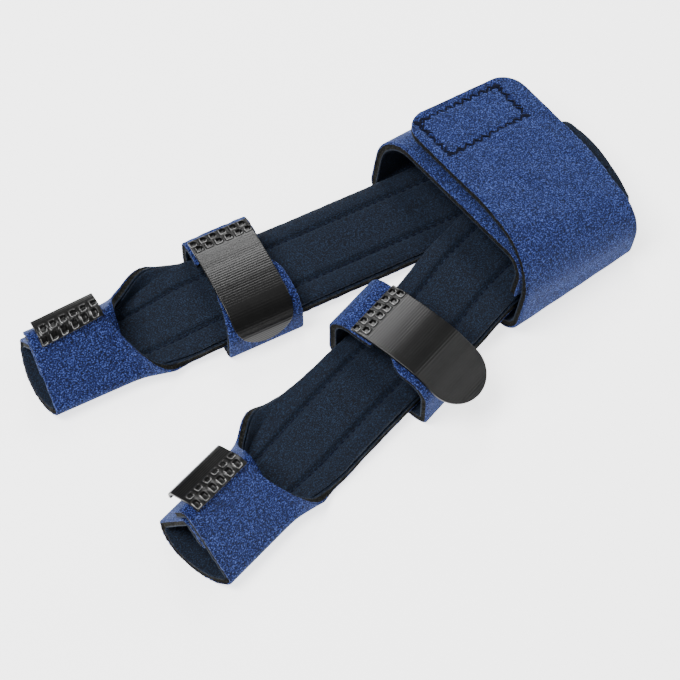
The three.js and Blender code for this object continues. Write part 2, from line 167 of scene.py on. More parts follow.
OPENING_START = SLEEVE_RIDGE + 1  # behind this, the wings open out into the tongue's edges
NEAR_EDGE_END = SLEEVE_ROOT + 6
FAR_EDGE_RISE = 5.8  # the far edge still stands up behind the sleeve
FAR_RIDGE = 29.3  # the far wing goes on further back than the near one
FAR_EDGE_START = 36.5
FAR_EDGE_END = 61.0
NAP = 0.7  # how deep the loop cloth is at a cut edge
LINING = 0.5
UNEVEN_WAVES = 7
LINING_WAVE = 14.0
LINING_SOFTNESS = 0.25
WAVE_TURN = 6.28  # radians within which a wave starts
WALE_HEIGHT = 0.5
ARC_SHARE = 0.48  # of a line, the most that the arc at one of its ends takes up
ROW_CROWDING = 1.6  # the grid's rows crowd together behind the ridge
SHELL_COLUMNS = 141
SHELL_SPREAD = 40.0  # about how far the columns go to each side
SPLINT_SHIFT = (9.24, -0.48)  # from the measures below to the middle of the footprint

FINGERS = [
    # tip is the middle of the sleeve's mouth, angle the finger's direction in degrees, palm_lift
    # its height in the palm and apex the height of the sleeve's ridge. The outer edge widens by
    # flare towards the palm.
    {"name": "right", "tip": (84.5, -38.7), "angle": -10.8, "length": 181.0,
     "palm_lift": STACK, "apex": 28.0, "outer": "far", "flare": 0.0,
     "strap_at": 70.5, "strap_width": 24.5, "seed": 3},
    {"name": "left", "tip": (81.5, 38.8), "angle": 10.2, "length": 190.0,
     "palm_lift": STACK + TONGUE_STACK, "apex": 31.0, "outer": "near", "flare": 7.0,
     "strap_at": 92.0, "strap_width": 23.0, "seed": 8},
]

# The tongue's edges as shares of its width, at shares of its length
TONGUE_SHAPE = {
    "at": (0.0, 0.25, 0.36, 0.52, 1.0),
    "near": (0.49, 0.48, 0.48, 0.485, 0.485),
    "far": (0.57, 0.57, 0.5, 0.485, 0.485),
}


def smooth(value, low, high):
    """A soft step from 0 at low to 1 at high."""
    share = np.clip((value - low) / (high - low), 0, 1)
    return share * share * (3 - 2 * share)


def rounded_path(corners):
    """Lines and arcs through corners of (t, z, radius), as links of (length, turn)."""
    links, used = [], 0.0
    steps = [(math.hypot(b[0] - a[0], b[1] - a[1]), math.atan2(b[1] - a[1], b[0] - a[0]))
             for a, b in zip(corners, corners[1:])]
    for i, (length, heading) in enumerate(steps):
        cut = 0.0
        if i + 1 < len(steps):
            turn = steps[i + 1][1] - heading
            turn = math.atan2(math.sin(turn), math.cos(turn))
            half = abs(math.tan(turn / 2))
            cut = min(corners[i + 1][2] * half, ARC_SHARE * min(length, steps[i + 1][0]))
            links.append((length - used - cut, 0.0))
            if half > 1e-6:
                links.append((cut / half * abs(turn), turn))
        else:
            links.append((length - used, 0.0))
        used = cut
    return {"start": (corners[0][0], corners[0][1], steps[0][1]), "links": links}


def path_length(path):
    return sum(length for length, _ in path["links"])


def follow(path, distances, offsets):
    """Places at distances along a path, moved to its left by offsets."""
    left = np.array(distances, float)
    t = np.full_like(left, path["start"][0])
    z = np.full_like(left, path["start"][1])
    heading = np.full_like(left, path["start"][2])
    for i, (length, turn) in enumerate(path["links"]):
        part = left if i == len(path["links"]) - 1 else np.minimum(left, length)
        bend = turn * part / length if length > 0 else part * 0
        chord = part * np.sinc(bend / (2 * np.pi))
        t = t + chord * np.cos(heading + bend / 2)
        z = z + chord * np.sin(heading + bend / 2)
        heading = heading + bend
        left = left - part
    return t - offsets * np.sin(heading), z + offsets * np.cos(heading), heading


def finger_point(finger, s, t, z):
    """From a finger's own measures, s from the tip to the palm and t to its +Y side."""
    angle = math.radians(finger["angle"])
    x = finger["tip"][0] - s * math.cos(angle) - t * math.sin(angle) + SPLINT_SHIFT[0]
    y = finger["tip"][1] - s * math.sin(angle) + t * math.cos(angle) + SPLINT_SHIFT[1]
    return np.stack(np.broadcast_arrays(x, y, z), axis=-1)


def end_cut(finger, s, t):
    """How much shorter the palm end is towards the outer edge, where it is cut at a slant."""
    outwards = t if finger["outer"] == "near" else -t
    share = np.maximum(0, outwards / TONGUE_WIDTH + 0.5)
    return END_SLANT * share**2 * smooth(s, finger["length"] - 3 * END_SLANT, finger["length"])


def tongue_lift(finger, s):
    """How high the tongue lies: on the table, then on its strap, then on what is in the palm."""
    strap_start = finger["strap_at"] - finger["strap_width"] / 2 - STRAP_MARGIN
    palm_start = finger["strap_at"] + finger["strap_width"] / 2 + STRAP_MARGIN
    on_strap = STACK * smooth(s, SLEEVE_LEVEL, strap_start)
    return on_strap + (finger["palm_lift"] - STACK) * smooth(s, palm_start, palm_start + PALM_RISE)


def tongue_half(finger, near, s):
    """From the middle of a tongue to one of its edges, the far one with its rise."""
    side = "near" if near else "far"
    share = s / finger["length"]
    flare = finger["flare"] * max(0.0, 2 * share - 1) if side == finger["outer"] else 0.0
    half = flare + TONGUE_WIDTH * float(np.interp(share, TONGUE_SHAPE["at"], TONGUE_SHAPE[side]))
    past = max(0.0, s - (finger["length"] - END_RADIUS))
    half = half - END_RADIUS + math.sqrt(max(0.0, END_RADIUS**2 - past**2))
    return half if near else half + FAR_EDGE_RISE * (1 - smooth(s, FAR_EDGE_START, FAR_EDGE_END))


def wing_path(finger, near, s):
    """Half of the sleeve's outer section, from the middle of the floor to the end of a wing."""
    closed = 1 - smooth(s, OPENING_START, NEAR_EDGE_END if near else FAR_EDGE_END)
    half = SLEEVE_WIDTH / 2
    rise = finger["apex"] - SLEEVE_CORNER_RISE
    inset = WALL + GAP
    upper_slope = math.atan2(rise, half - RIDGE_SHIFT)
    to_apex = math.hypot(rise, half + RIDGE_SHIFT)
    under_slope = math.atan2(rise, half + RIDGE_SHIFT) - math.asin(inset / to_apex)
    ridge_turn = upper_slope + under_slope
    under_wall = math.sqrt(to_apex**2 - inset**2) - inset * math.tan(ridge_turn / 2)
    slope = (math.pi - (upper_slope if near else under_slope)) * closed
    wall = math.hypot(rise, half - RIDGE_SHIFT) if near else under_wall
    radius = RIDGE_RADIUS if near else RIDGE_RADIUS - inset
    past = radius * math.tan(ridge_turn / 2) + (SLEEVE_OVER if near else SLEEVE_LAP)
    corner = (half, SLEEVE_CORNER_RISE * closed, SLEEVE_CORNER_RADIUS)
    apex = (corner[0] + wall * math.cos(slope), corner[1] + wall * math.sin(slope), radius)
    onwards = slope + ridge_turn
    end = (apex[0] + past * math.cos(onwards), apex[1] + past * math.sin(onwards), 0)
    crease = (FLOOR_CREASE * half, 0, half)
    bow = (FLOOR_BOW[0] * half, FLOOR_BOW[1] * corner[1], SLEEVE_WIDTH)
    return rounded_path([(0, 0, 0), crease, bow, corner, apex, end])


def wing_reach(finger, near, s):
    """How far a wing reaches: whole along the ridge, then cut in a hollow curve to the edge."""
    base = tongue_half(finger, near, s)
    ridge, root = (SLEEVE_RIDGE, SLEEVE_ROOT) if near else (FAR_RIDGE, FAR_EDGE_START)
    if s >= root:
        return base
    whole = path_length(wing_path(finger, near, s))
    share = min(1.0, (root - s) / (root - ridge))
    return base + (whole - base) * (1 - math.sqrt(1 - share**2))


def shell_points(finger, s, shares, offsets):
    """One row of the shell, at signed shares of each wing's reach, offset inwards."""
    points = np.zeros((len(shares), 3))
    bow_run = 1 - smooth(s, 0, MOUTH_RUN)
    for near in (False, True):
        chosen = shares >= 0 if near else shares < 0
        distance = np.abs(shares[chosen]) * wing_reach(finger, near, s)
        t, z, _ = follow(wing_path(finger, near, s), distance, offsets[chosen])
        t = t if near else -t
        bow = MOUTH_BULGE * np.minimum(1, (distance / (SLEEVE_WIDTH / 2)) ** 2) * bow_run
        z = z + tongue_lift(finger, s)
        points[chosen] = finger_point(finger, s + bow - end_cut(finger, s, t), t, z)
    return points


EDGE_PROFILE = [
    # depth below the outer face, and how far the cut edge stands out there: the nap hangs over
    # and the foam draws back
    (0, 0.0), (0.35, 0.35), (NAP, 0.28), (1.1, -0.02), (WALL - LINING - 0.3, -0.05),
    (WALL - 0.15, 0.15), (WALL, 0.0),
]


def edge_swell(depth):
    depths, swells = zip(*EDGE_PROFILE)
    return float(np.interp(depth, depths, swells))


LAMINATE_EDGE = [
    # depth below the outer face, and the layer that the edge shows from there down
    (0.0, "outer"), (0.2, "outer"), (0.45, "outer"), (NAP, "core"), (1.15, "core"), (1.6, "core"),
    (WALL - LINING, "inner"), (WALL - 0.2, "inner"),
]


def sheet_mesh(name, outside, inside, thickness, edge, swell, ragged, seed, layers):
    """A closed sheet between two grids of points, its outer and its inner face, whose rows turned
    onto their columns point outwards. layers are its outer, inner and core materials, and its UV
    map is in centimetres along the cloth."""
    middle = (outside + inside) / 2
    long, wide = outside.shape[:2]
    rim = [(0, j) for j in range(wide)] + [(i, wide - 1) for i in range(1, long)]
    rim += [(long - 1, j) for j in range(wide - 2, -1, -1)]
    rim += [(i, 0) for i in range(long - 2, 0, -1)]
    rows, columns = np.array(rim).T
    away = np.zeros((len(rim), 3))
    for at_end, step_row, step_column in (
        (rows == 0, 2, 0), (rows == long - 1, -2, 0),
        (columns == 0, 0, 2), (columns == wide - 1, 0, -2),
    ):
        here = middle[rows[at_end], columns[at_end]]
        back = middle[rows[at_end] + step_row, columns[at_end] + step_column]
        step = here - back
        away[at_end] += step / np.maximum(np.linalg.norm(step, axis=1, keepdims=True), 1e-9)
    away /= np.maximum(np.linalg.norm(away, axis=1, keepdims=True), 1e-9)
    chance = np.random.default_rng(seed)
    rings = []
    for depth, _ in edge[1:]:
        out = swell(depth) + chance.normal(0, ragged, len(rim))
        ring = outside + (inside - outside) * (depth / thickness)
        rings.append(ring[rows, columns] + away * out[:, None])
    size = long * wide
    index = np.arange(size).reshape(long, wide)
    quads = np.stack([index[:-1, :-1], index[1:, :-1], index[1:, 1:], index[:-1, 1:]], -1)
    quads = quads.reshape(-1, 4)
    loops = [index[rows, columns]]
    loops += [2 * size + k * len(rim) + np.arange(len(rim)) for k in range(len(rings))]
    loops.append(index[rows, columns] + size)
    faces = [quads, quads[:, ::-1] + size]
    slots = [0] * len(quads) + [1] * len(quads)
    order = {"outer": 0, "inner": 1, "core": 2}
    for (_, layer), upper, lower in zip(edge, loops, loops[1:]):
        faces.append(np.stack([upper, np.roll(upper, -1), np.roll(lower, -1), lower], -1))
        slots += [order[layer]] * len(rim)
    mesh = bpy.data.meshes.new(name)
    vertices = np.concatenate([outside.reshape(-1, 3), inside.reshape(-1, 3), *rings]) * MM
    mesh.from_pydata(vertices.tolist(), [], np.concatenate(faces).tolist())
    mesh.polygons.foreach_set("material_index", slots)
    mesh.polygons.foreach_set("use_smooth", [True] * len(slots))
    across = np.linalg.norm(np.diff(middle, axis=1), axis=2).cumsum(axis=1)
    across = np.concatenate([np.zeros((long, 1)), across], axis=1)
    across -= across[:, [wide // 2]]
    along = np.linalg.norm(np.diff(middle[:, wide // 2], axis=0), axis=1).cumsum()
    along = np.concatenate([[0.0], along])[:, None].repeat(wide, axis=1)
    uv = np.stack([across, along], -1).reshape(-1, 2) * UV_SCALE
    uv = np.concatenate([uv, uv, np.tile(uv[index[rows, columns]], (len(rings), 1))])
    corners = np.zeros(len(mesh.loops), int)
    mesh.loops.foreach_get("vertex_index", corners)
    mesh.uv_layers.new(name="cloth").data.foreach_set("uv", uv[corners].ravel())
    for material in layers:
        mesh.materials.append(material)
    return add_object(name, mesh)


def mottle(tree, scale, stops, detail=2):
    """A noise and the colours that it picks between stops of (place, colour)."""
    noise = add_node(tree, "ShaderNodeTexNoise", {
        "Scale": scale, "Detail": detail, "Roughness": 0.6,
        "Vector": tree.nodes.new("ShaderNodeTexCoord").outputs["Object"],
    })
    ramp = add_node(tree, "ShaderNodeValToRGB", {"Fac": noise.outputs["Fac"]})
    ramp.color_ramp.elements[0].position, ramp.color_ramp.elements[0].color = stops[0]
    ramp.color_ramp.elements[1].position, ramp.color_ramp.elements[1].color = stops[-1]
    for position, colour in stops[1:-1]:
        ramp.color_ramp.elements.new(position).color = colour
    return noise.outputs["Fac"], ramp.outputs["Color"]


def add_bump(tree, shader, height, strength, distance):
    bump = add_node(tree, "ShaderNodeBump", {
        "Height": height, "Strength": strength, "Distance": distance})
    set_inputs(tree, shader, {"Normal": bump.outputs["Normal"]})


# Brushed loops of nylon: dark between the curls, bright blue on them, a little patchy
loop_cloth, tree, shader = new_material("loop_cloth", roughness=0.95, specular=0.15)
curls, curl_colour = mottle(tree, scale=2300, stops=[
    (0.39, (0.0008, 0.0014, 0.008, 1)), (0.47, (0.0043, 0.0078, 0.046, 1)),
    (0.55, (0.0092, 0.0165, 0.088, 1)), (0.65, (0.058, 0.096, 0.33, 1)),
])
_, patch_shade = mottle(tree, scale=180, stops=[
    (0.3, (0.92, 0.93, 0.95, 1)), (0.7, (1.06, 1.05, 1.03, 1)),
])
shade = add_node(tree, "ShaderNodeMix", {"Factor": 1, "A": curl_colour, "B": patch_shade},
                 data_type="RGBA", blend_type="MULTIPLY")
set_inputs(tree, shader, {
    "Base Color": shade.outputs["Result"],
    "Sheen Weight": 0.18, "Sheen Roughness": 0.45, "Sheen Tint": (0.35, 0.5, 0.95, 1),
})
add_bump(tree, shader, curls, strength=0.9, distance=0.0005)

# Fine knit, nearly black with a blue cast, whose wales run along the cloth
knit_lining, tree, shader = new_material("knit_lining", roughness=0.85, specular=0.2)
fibre, fibre_colour = mottle(tree, scale=2500, stops=[
    (0.38, (0.001, 0.0018, 0.0045, 1)), (0.52, (0.003, 0.0064, 0.0152, 1)),
    (0.68, (0.011, 0.022, 0.046, 1)),
])
wales = add_node(tree, "ShaderNodeTexWave", {
    "Scale": 5.5, "Distortion": 0.6, "Detail": 1,
    "Vector": tree.nodes.new("ShaderNodeTexCoord").outputs["UV"],
}, wave_type="BANDS", bands_direction="X")
knit_height = add_node(tree, "ShaderNodeMath", {
    0: wales.outputs["Fac"], 1: WALE_HEIGHT, 2: fibre}, operation="MULTIPLY_ADD")
set_inputs(tree, shader, {
    "Base Color": fibre_colour,
    "Sheen Weight": 0.06, "Sheen Roughness": 0.5, "Sheen Tint": (0.3, 0.42, 0.62, 1),
})
add_bump(tree, shader, knit_height.outputs["Value"], strength=0.55, distance=0.0002)

# Cut foam: black open cells
foam_edge, tree, shader = new_material("foam_edge", roughness=0.95, specular=0.1)
cells, cell_colour = mottle(tree, scale=1700, stops=[
    (0.35, (0.0022, 0.0022, 0.0018, 1)), (0.55, (0.007, 0.007, 0.006, 1)),
    (0.72, (0.03, 0.03, 0.026, 1)),
])
set_inputs(tree, shader, {"Base Color": cell_colour})
add_bump(tree, shader, cells, strength=0.8, distance=0.0003)
LAMINATE = (loop_cloth, knit_lining, foam_edge)


def uneven(u, v, seed, size, amount):
    """A soft unevenness over a sheet, from a few seeded waves of about a size in millimetres."""
    chance = np.random.default_rng(seed)
    total = 0.0
    for _ in range(UNEVEN_WAVES):
        wave = chance.normal(0, 1.0 / size, 2)
        start = chance.uniform(0, WAVE_TURN)
        total = total + np.sin(2 * math.pi * (wave[0] * u + wave[1] * v) + start)
    return amount * total / UNEVEN_WAVES


for finger in FINGERS:
    straight_end = finger["length"] - END_RADIUS
    shell_rows = np.concatenate([
        np.linspace(0, SLEEVE_RIDGE, 30),
        SLEEVE_RIDGE + (SLEEVE_ROOT - SLEEVE_RIDGE) * np.linspace(0, 1, 60)[1:] ** ROW_CROWDING,
        np.linspace(SLEEVE_ROOT, straight_end, 80)[1:],
        straight_end + END_RADIUS * np.sin(np.linspace(0, math.pi / 2, 9)[1:]),
    ])
    shell_shares = np.linspace(-1, 1, SHELL_COLUMNS)
    spread = shell_shares * SHELL_SPREAD
    flat_offsets = np.zeros(SHELL_COLUMNS)
    outer_face = np.array([shell_points(finger, s, shell_shares, flat_offsets) for s in shell_rows])
    inner_face = np.array([
        shell_points(finger, s, shell_shares,
                     WALL - uneven(spread, s, finger["seed"], LINING_WAVE, LINING_SOFTNESS))
        for s in shell_rows])
    shell = sheet_mesh(f"{finger['name']}_finger_shell_cloth", outer_face, inner_face, WALL,
                       LAMINATE_EDGE, edge_swell, ragged=0.07, seed=finger["seed"], layers=LAMINATE)
    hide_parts(f"{finger['name']}_finger_shell")
    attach(shell, "root")


# The finger pads. A strip of knit-covered foam lies along each tongue, sewn down along two lines,
# and the flat stay sits in the channel between them, so the channel stands a little proud.
CHANNEL_HALF = 8.1
PAD_INSET = 0.8
PAD_START = 12.0
PAD_SLEEVE_HALF = 9.0
PAD_OPENS = (SLEEVE_RIDGE - 3, SLEEVE_RIDGE + 9)  # where it widens behind the sleeve's ridge
PAD_PRESSED = (SLEEVE_ROOT - 4, SLEEVE_ROOT + 14)  # in front of this, its sides are pressed flat
PAD_SIDE_PRESS = 0.55
PAD_MOUTH_RUN = 6.0
PAD_MOUTH_HEIGHT = 0.45  # this and the heights below are shares of the pad's thickness
CHANNEL_CROWN = 0.98
CHANNEL_FALL = 0.16
SIDE_HEIGHT = 0.76
SIDE_CROWN = 0.06
SIDE_FALL = 0.3
SEAM_PULL = 0.42
STITCH_PULL = 0.09
SEAM_PITCH = 2.6
SEAM_GROOVE = 1.5
GROOVE_FADE = (8.0, 3.0)  # it fades out between these distances from the tongue's palm end
SEAM_ENDS = (4.0, 2.0)  # the stitches stop this far from the pad's mouth and that palm end
THREAD_PROUD = 0.05
PAD_BULGE = 0.35
PAD_ROWS = 230
PAD_COLUMNS = 101
PAD_EDGE = [(0.0, "core"), (0.7, "core"), (1.4, "core"), (2.1, "inner"), (2.5, "inner")]


def pad_half(finger, near, s):
    """From the middle of a pad to one of its edges, just inside the tongue's own edge."""
    open_share = smooth(s, *PAD_OPENS)
    half = tongue_half(finger, near, s)
    return PAD_SLEEVE_HALF + (half - PAD_INSET - PAD_SLEEVE_HALF) * open_share


def pad_height(across, half, s, finger):
    """The pad's thickness at a distance from its middle, with its two sewn channels."""
    channel = np.clip(np.abs(across) / CHANNEL_HALF, 0, 1)
    side = np.clip((np.abs(across) - CHANNEL_HALF) / np.maximum(half - CHANNEL_HALF, 0.5), 0, 1)
    height = np.where(np.abs(across) < CHANNEL_HALF, CHANNEL_CROWN - CHANNEL_FALL * channel**2,
                      SIDE_HEIGHT + SIDE_CROWN * np.sin(side * math.pi) - SIDE_FALL * side**3)
    groove = np.exp(-((np.abs(across) - CHANNEL_HALF) / SEAM_GROOVE) ** 2 * 2)
    pull = SEAM_PULL + STITCH_PULL * np.cos(2 * math.pi * s / SEAM_PITCH)
    fading = 1 - smooth(s, finger["length"] - GROOVE_FADE[0], finger["length"] - GROOVE_FADE[1])
    height = height - pull * groove * fading
    height = height * (1 - PAD_SIDE_PRESS * (1 - smooth(s, *PAD_PRESSED)) * side)
    open_mouth = smooth(s, PAD_START, PAD_START + PAD_MOUTH_RUN)
    mouth = PAD_MOUTH_HEIGHT + (1 - PAD_MOUTH_HEIGHT) * open_mouth
    return PAD * height * mouth + uneven(across, s, finger["seed"] + 5, size=9, amount=0.16)


def on_pad(finger, near, s, across, half, share, proud=0.0):
    """Places at distances from a pad's middle, at a share of its height, standing proud of it."""
    rise = WALL + GAP + pad_height(across, half, s, finger) * share + proud
    t, z, _ = follow(wing_path(finger, near, s), across, rise)
    t = t if near else -t
    return finger_point(finger, s - end_cut(finger, s, t), t, z + tongue_lift(finger, s))


def pad_face(finger, share):
    """The grid of places on a pad, at a share of its height."""
    shares = np.linspace(-1, 1, PAD_COLUMNS)
    rows = []
    for s in np.linspace(PAD_START, finger["length"] - PAD_INSET, PAD_ROWS):
        row = np.zeros((PAD_COLUMNS, 3))
        for near in (False, True):
            chosen = shares >= 0 if near else shares < 0
            half = pad_half(finger, near, s)
            row[chosen] = on_pad(finger, near, s, np.abs(shares[chosen]) * half, half, share)
        rows.append(row)
    return np.array(rows)


def pad_swell(depth):
    return PAD_BULGE * math.sin(math.pi * depth / PAD)


for finger in FINGERS:
    pad = sheet_mesh(f"{finger['name']}_finger_pad_knit", pad_face(finger, 0.0),
                     pad_face(finger, 1.0), PAD, PAD_EDGE, pad_swell, ragged=0.05,
                     seed=finger["seed"], layers=(knit_lining,) * 3)
    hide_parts(f"{finger['name']}_finger_pad")
    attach(pad, "root")


# The stitches that hold the pads down: a dark polyester thread in a straight lock stitch, which
# sinks into the knit and shows as short dashes.
thread, tree, shader = new_material("thread", roughness=0.7, specular=0.1)
_, twist = mottle(tree, scale=3000, detail=1, stops=[
    (0.4, (0.0009, 0.0016, 0.006, 1)), (0.65, (0.003, 0.005, 0.02, 1)),
])
set_inputs(tree, shader, {"Base Color": twist})


def new_tree(name, inputs):
    """A Geometry Nodes tree with named inputs, as itself and its input node."""
    tree = bpy.data.node_groups.new(name, "GeometryNodeTree")
    tree.interface.new_socket("Geometry", in_out="INPUT", socket_type="NodeSocketGeometry")
    for socket, kind, value in inputs:
        made = tree.interface.new_socket(socket, in_out="INPUT", socket_type=kind)
        made.default_value = value
    tree.interface.new_socket("Geometry", in_out="OUTPUT", socket_type="NodeSocketGeometry")
    return tree, tree.nodes.new("NodeGroupInput")


def end_tree(tree, shape, material):
    """Makes a tree's instances real and gives them a material."""
    made_real = add_node(tree, "GeometryNodeRealizeInstances", {"Geometry": shape})
    painted = add_node(tree, "GeometryNodeSetMaterial", {
        "Geometry": made_real.outputs["Geometry"], "Material": material})
    add_node(tree, "NodeGroupOutput", {"Geometry": painted.outputs["Geometry"]})


def grow(name, lines, tree, sizes, twist_mode):
    """What a tree makes along lines of points in millimetres, as one plain mesh."""
    curve = bpy.data.curves.new(name, "CURVE")
    curve.dimensions = "3D"
    curve.twist_mode = twist_mode
    for line in lines:
        spline = curve.splines.new("POLY")
        spline.points.add(len(line) - 1)
        spline.points.foreach_set("co", np.column_stack([line * MM, np.ones(len(line))]).ravel())
    guide = add_object(name + "_guide", curve)
    modifier = guide.modifiers.new(tree.name, "NODES")
    modifier.node_group = tree
    for item in tree.interface.items_tree:
        if item.in_out == "INPUT" and item.name in sizes:
            modifier[item.identifier] = sizes[item.name]
    bpy.context.view_layer.update()
    evaluated = guide.evaluated_get(bpy.context.evaluated_depsgraph_get())
    mesh = bpy.data.meshes.new_from_object(evaluated)
    bpy.data.objects.remove(guide)
    mesh.polygons.foreach_set("use_smooth", [True] * len(mesh.polygons))
    return add_object(name, mesh)


# Each stitch is a bead on the line, turned to one side and the other by the zigzag
stitching, given = new_tree("stitching", [
    ("Pitch", "NodeSocketFloat", 0.0026), ("Length", "NodeSocketFloat", 0.0018),
    ("Thickness", "NodeSocketFloat", 0.00045), ("Zigzag", "NodeSocketFloat", 0.0),
    ("Thread", "NodeSocketMaterial", thread),
])
resampled = add_node(stitching, "GeometryNodeResampleCurve", {
    "Curve": given.outputs["Geometry"], "Length": given.outputs["Pitch"]}, mode="LENGTH")
points = add_node(stitching, "GeometryNodeCurveToPoints", {
    "Curve": resampled.outputs["Curve"]}, mode="EVALUATED")
index = stitching.nodes.new("GeometryNodeInputIndex")
odd = add_node(stitching, "ShaderNodeMath", {
    0: index.outputs["Index"], 1: 2}, operation="MODULO")
turn = add_node(stitching, "ShaderNodeMath", {
    0: odd.outputs["Value"], 1: 2, 2: -1}, operation="MULTIPLY_ADD")
swing = add_node(stitching, "ShaderNodeMath", {
    0: turn.outputs["Value"], 1: given.outputs["Zigzag"]}, operation="MULTIPLY")
tilt = add_node(stitching, "ShaderNodeCombineXYZ", {"Y": swing.outputs["Value"]})
slant = add_node(stitching, "FunctionNodeRotateRotation", {
    "Rotation": points.outputs["Rotation"], "Rotate By": tilt.outputs["Vector"],
}, rotation_space="LOCAL")
stitch = add_node(stitching, "GeometryNodeMeshUVSphere", {
    "Segments": 8, "Rings": 6, "Radius": 0.5})
size = add_node(stitching, "ShaderNodeCombineXYZ", {
    "X": given.outputs["Thickness"], "Y": given.outputs["Thickness"],
    "Z": given.outputs["Length"]})
placed = add_node(stitching, "GeometryNodeInstanceOnPoints", {
    "Points": points.outputs["Points"], "Instance": stitch.outputs["Mesh"],
    "Rotation": slant.outputs["Rotation"], "Scale": size.outputs["Vector"]})
end_tree(stitching, placed.outputs["Instances"], given.outputs["Thread"])

for finger in FINGERS:
    seams = []
    for near in (False, True):
        line = []
        for s in np.arange(PAD_START + SEAM_ENDS[0], finger["length"] - SEAM_ENDS[1], 1.0):
            half = pad_half(finger, near, s)
            across = np.array([CHANNEL_HALF])
            line.append(on_pad(finger, near, s, across, half, share=1.0, proud=THREAD_PROUD)[0])
        seams.append(np.array(line))
    stitches = grow(f"{finger['name']}_pad_stitches", seams, stitching,
                    {"Pitch": SEAM_PITCH * MM}, twist_mode="Z_UP")
    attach(stitches, "root")


# The finger straps. Each is a narrow strip of the same laminate, looped below the tongue and up
# both sides. Its left arm is welded to the hook tape, and its right end lies below the tab.
STRAP_NARROWING = 3.5
STRAP_NARROWS = (0.5, 0.75)  # between these shares of its length
STRAP_HALF = 20.0
STRAP_TOP_RADIUS = 8.0
STRAP_BOTTOM_RADIUS = 3.4
STRAP_PART = 2.0  # the opening between the ends of its two arms
ARM_NARROWING = 2.5  # the arm below the tab is cut narrower, and set to one side
ARM_TAPER = 8.0  # and its end is cut narrower still
ARM_TAPER_RUN = 13.0
ARM_SET_RUN = 10.0
UNDER_TAB = (8.0, 32.0)  # along the strap, where its arm comes out from below the tab
STRAP_LIES = (12.0, 30.0)  # between these distances from either end, its bottom turns level
STRAP_ROWS = 190
STRAP_COLUMNS = 33

STRAPS = {
    # turn is in degrees, shift moves the loop across the finger, arm is how far its left arm
    # goes on over the top, and side_trim moves its left side in
    "right": {"turn": 0.0, "height": 17.0, "shift": -0.6, "arm": 8.0, "arm_set": 1.4,
              "side_trim": 1.5},
    "left": {"turn": 2.0, "height": 21.0, "shift": 1.0, "arm": 3.0, "arm_set": -1.6,
             "side_trim": 0.0},
}


def strap_point(finger, p, t, z):
    """From a strap's own measures, p along the finger from the strap's middle."""
    turn = math.radians(STRAPS[finger["name"]]["turn"])
    s = finger["strap_at"] + p * math.cos(turn) + t * math.sin(turn)
    return finger_point(finger, s, t * math.cos(turn) - p * math.sin(turn), z)


def strap_path(finger):
    """A strap's outer face, from its right arm over the top and round to its left arm."""
    sizes = STRAPS[finger["name"]]
    left = sizes["shift"] - STRAP_HALF + sizes["side_trim"]
    right = sizes["shift"] + STRAP_HALF
    top, arm = sizes["height"], sizes["arm"]
    return rounded_path([
        (STRAP_PART - arm, top, 0), (right, top, STRAP_TOP_RADIUS), (right, 0, STRAP_BOTTOM_RADIUS),
        (left, 0, STRAP_BOTTOM_RADIUS), (left, top, STRAP_TOP_RADIUS), (-arm, top, 0),
    ])


def strap_face(finger, depth):
    """The grid of places in a strap's cloth, at a depth below its outer face."""
    path = strap_path(finger)
    whole = path_length(path)
    shares = np.linspace(-0.5, 0.5, STRAP_COLUMNS)
    rows = []
    for along in np.linspace(0, whole, STRAP_ROWS):
        under_tab = 1 - smooth(along, *UNDER_TAB)
        narrowed = smooth(along, STRAP_NARROWS[0] * whole, STRAP_NARROWS[1] * whole)
        width = finger["strap_width"] - STRAP_NARROWING * narrowed
        width -= ARM_NARROWING * under_tab + ARM_TAPER * (1 - smooth(along, 0, ARM_TAPER_RUN))
        lying = smooth(along, *STRAP_LIES)
        lying *= 1 - smooth(along, whole - STRAP_LIES[1], whole - STRAP_LIES[0])
        soft = uneven(shares * width, along, finger["seed"] + 11, size=11, amount=0.3) * (1 - lying)
        t, z, _ = follow(path, np.full(shares.shape, along), soft * (depth / WALL - 1) - depth)
        aside = STRAPS[finger["name"]]["arm_set"] * under_tab * smooth(along, 0, ARM_SET_RUN)
        rows.append(strap_point(finger, shares * width + aside, t, z))
    return np.array(rows)


for finger in FINGERS:
    strap = sheet_mesh(f"{finger['name']}_strap_cloth", strap_face(finger, 0.0),
                       strap_face(finger, WALL), WALL, LAMINATE_EDGE, edge_swell, ragged=0.06,
                       seed=finger["seed"] + 1, layers=LAMINATE)
    strap_length = path_length(strap_path(finger))
    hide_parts(f"{finger['name']}_strap")
    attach(strap, "root")


# The hook tape tabs. Moulded black plastic tape with fine ribs, welded to the cloth at one end by
# two staggered rows of square pits, whose melted rims catch the light. The strap tabs arch over
# to the other side of the strap, and the sleeve tabs sit on the ridge of the sleeve.
TAPE = 1.0
RIB_PITCH = 0.8
RIB_HEIGHT = 0.055
RIB_EVENNESS = 0.8
RIB_DRAW = 0.02  # the ribs' unevenness is drawn out across the tape
TAPE_BULGE = 0.1
PIT_HALF = 1.0
PIT_DEPTH = 0.8
PIT_SQUARENESS = 6  # 2 would make the pits round
PIT_EDGE = 0.25  # the width of a pit's sloping sides
PIT_ROWS = ((1.35, 0.0), (3.95, 0.9))  # from the welded end, and how far the row is shifted
PIT_FIRST = 1.3
PIT_COUNT = 6
PIT_STRAY = 0.07
WELD_LENGTH = 5.4
WELD_FADE = 0.3
RIM_RADIUS = 0.17
RIM_HEIGHT = 0.12
RIM_SPREAD = (0.15, 0.2)  # how far outside its pit the tape is raised, and how widely
RIM_PROUD = 0.04
TAB_COLUMNS = 101
TAB_STEP = 0.17  # the grid's rows in the weld
STRAP_TAB_WIDTH = 20.0
STRAP_TAB_WELD = 7.0
TAB_ARCH = 0.32  # radians by which the stiff tape bows up between its ends
SLEEVE_TAB_WIDTH = 20.5
